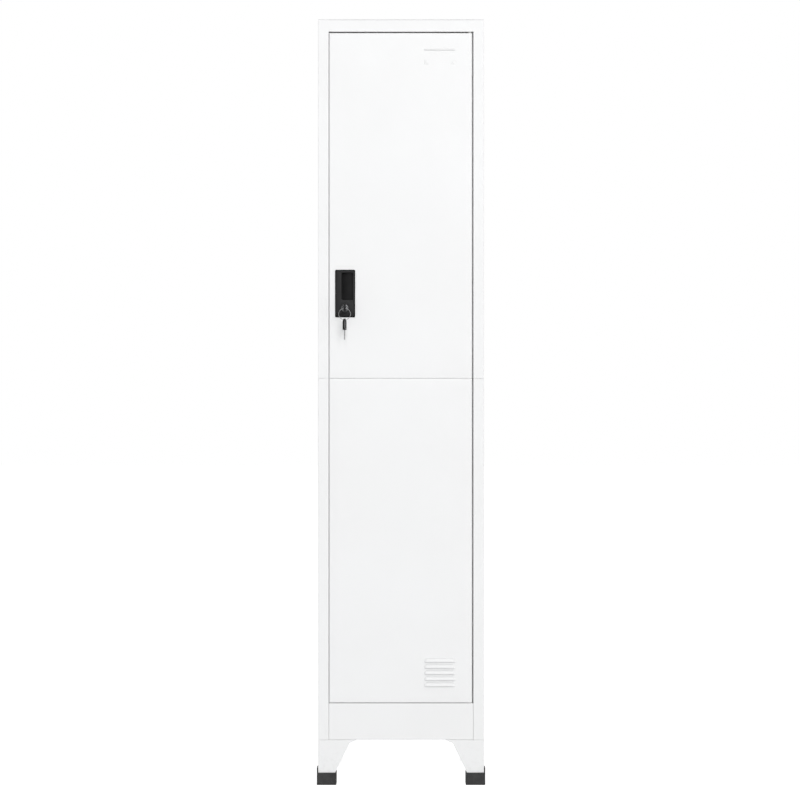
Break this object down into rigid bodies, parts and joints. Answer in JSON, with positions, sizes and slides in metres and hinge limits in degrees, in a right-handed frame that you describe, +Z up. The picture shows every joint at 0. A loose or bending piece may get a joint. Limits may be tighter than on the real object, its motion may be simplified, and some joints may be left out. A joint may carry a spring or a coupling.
{
  "type": "locker cabinet",
  "caption": "Tall narrow steel locker on four tapered legs, with a hinged louvred door, recessed lock handle, key and spare key, hat shelf and hanging rod.",
  "frame": {"origin": "middle of the bounding box's base, on the floor", "axes": "+Z up; the door faces -Y and is hinged at its +X edge"},
  "size_m": [0.396, 0.4916, 1.8],
  "materials": {
    "white_powder_coat": "white powder coat on folded sheet steel, satin",
    "cap_plastic": "black moulded plastic",
    "housing_plastic": "black moulded plastic, fine texture",
    "key_plastic": "black moulded plastic",
    "plated_steel": "bright nickel-plated steel",
    "zinc_steel": "zinc-plated steel",
    "nylon": "natural white nylon"
  },
  "bodies": {
    "cabinet": {"back_panel_lower": "white_powder_coat", "back_panel_upper": "white_powder_coat", "bottom_panel": "white_powder_coat", "foot_cap_front_left": "cap_plastic", "foot_cap_front_right": "cap_plastic", "foot_cap_rear_left": "cap_plastic", "foot_cap_rear_right": "cap_plastic", "hanging_rod": "plated_steel", "hat_shelf": "white_powder_coat", "hinge_bush_bottom": "nylon", "hinge_bush_top": "nylon", "kick_rail": "white_powder_coat", "leg_bolt_front_left_1": "zinc_steel", "leg_bolt_front_left_2": "zinc_steel", "leg_bolt_front_right_1": "zinc_steel", "leg_bolt_front_right_2": "zinc_steel", "leg_bolt_rear_left_1": "zinc_steel", "leg_bolt_rear_left_2": "zinc_steel", "leg_bolt_rear_right_1": "zinc_steel", "leg_bolt_rear_right_2": "zinc_steel", "leg_front_left": "white_powder_coat", "leg_front_right": "white_powder_coat", "leg_rear_left": "white_powder_coat", "leg_rear_right": "white_powder_coat", "rod_socket_left": "zinc_steel", "rod_socket_right": "zinc_steel", "shelf_clip_front_left": "zinc_steel", "shelf_clip_front_right": "zinc_steel", "shelf_clip_rear_left": "zinc_steel", "shelf_clip_rear_right": "zinc_steel", "side_panel_left_lower": "white_powder_coat", "side_panel_left_upper": "white_powder_coat", "side_panel_right_lower": "white_powder_coat", "side_panel_right_upper": "white_powder_coat", "splice_plate_back": "white_powder_coat", "splice_plate_left": "white_powder_coat", "splice_plate_right": "white_powder_coat", "top_panel": "white_powder_coat", "top_rail": "white_powder_coat"},
    "door": {"barrel_nut": "zinc_steel", "door_joint_bolt_1": "zinc_steel", "door_joint_bolt_2": "zinc_steel", "door_joint_bolt_3": "zinc_steel", "door_lower": "white_powder_coat", "door_upper": "white_powder_coat", "hinge_pin_bottom": "plated_steel", "hinge_pin_top": "plated_steel", "housing_screw_lower": "zinc_steel", "housing_screw_upper": "zinc_steel", "lock_barrel": "plated_steel", "lock_housing": "housing_plastic", "lock_retainer": "zinc_steel"},
    "lock": {"cam_nut": "zinc_steel", "key_blade": "plated_steel", "key_bow": "key_plastic", "lock_cam": "zinc_steel", "lock_plug": "plated_steel"},
    "ring": {"key_ring": "plated_steel"},
    "spare": {"spare_key_blade": "plated_steel", "spare_key_bow": "key_plastic"}
  },
  "joints": [
    {"name": "door_swing", "type": "hinge", "parent": "cabinet", "child": "door", "pos_m": [0.1616, -0.20206, 0.956], "axis": [0, 0, 1], "range_deg": [0, 105]},
    {"name": "lock_turn", "type": "hinge", "parent": "door", "child": "lock", "pos_m": [-0.1322, -0.20706, 1.121], "axis": [0, 1, 0], "range_deg": [0, 90]},
    {"name": "ring_swing", "type": "hinge", "parent": "lock", "child": "ring", "pos_m": [-0.1322, -0.23556, 1.1198], "axis": [-1, 0, 0], "range_deg": [-8, 80]},
    {"name": "spare_key_swing", "type": "hinge", "parent": "ring", "child": "spare", "pos_m": [-0.1322, -0.23556, 1.0923], "axis": [-1, 0, 0], "range_deg": [-10, 60]}
  ]
}
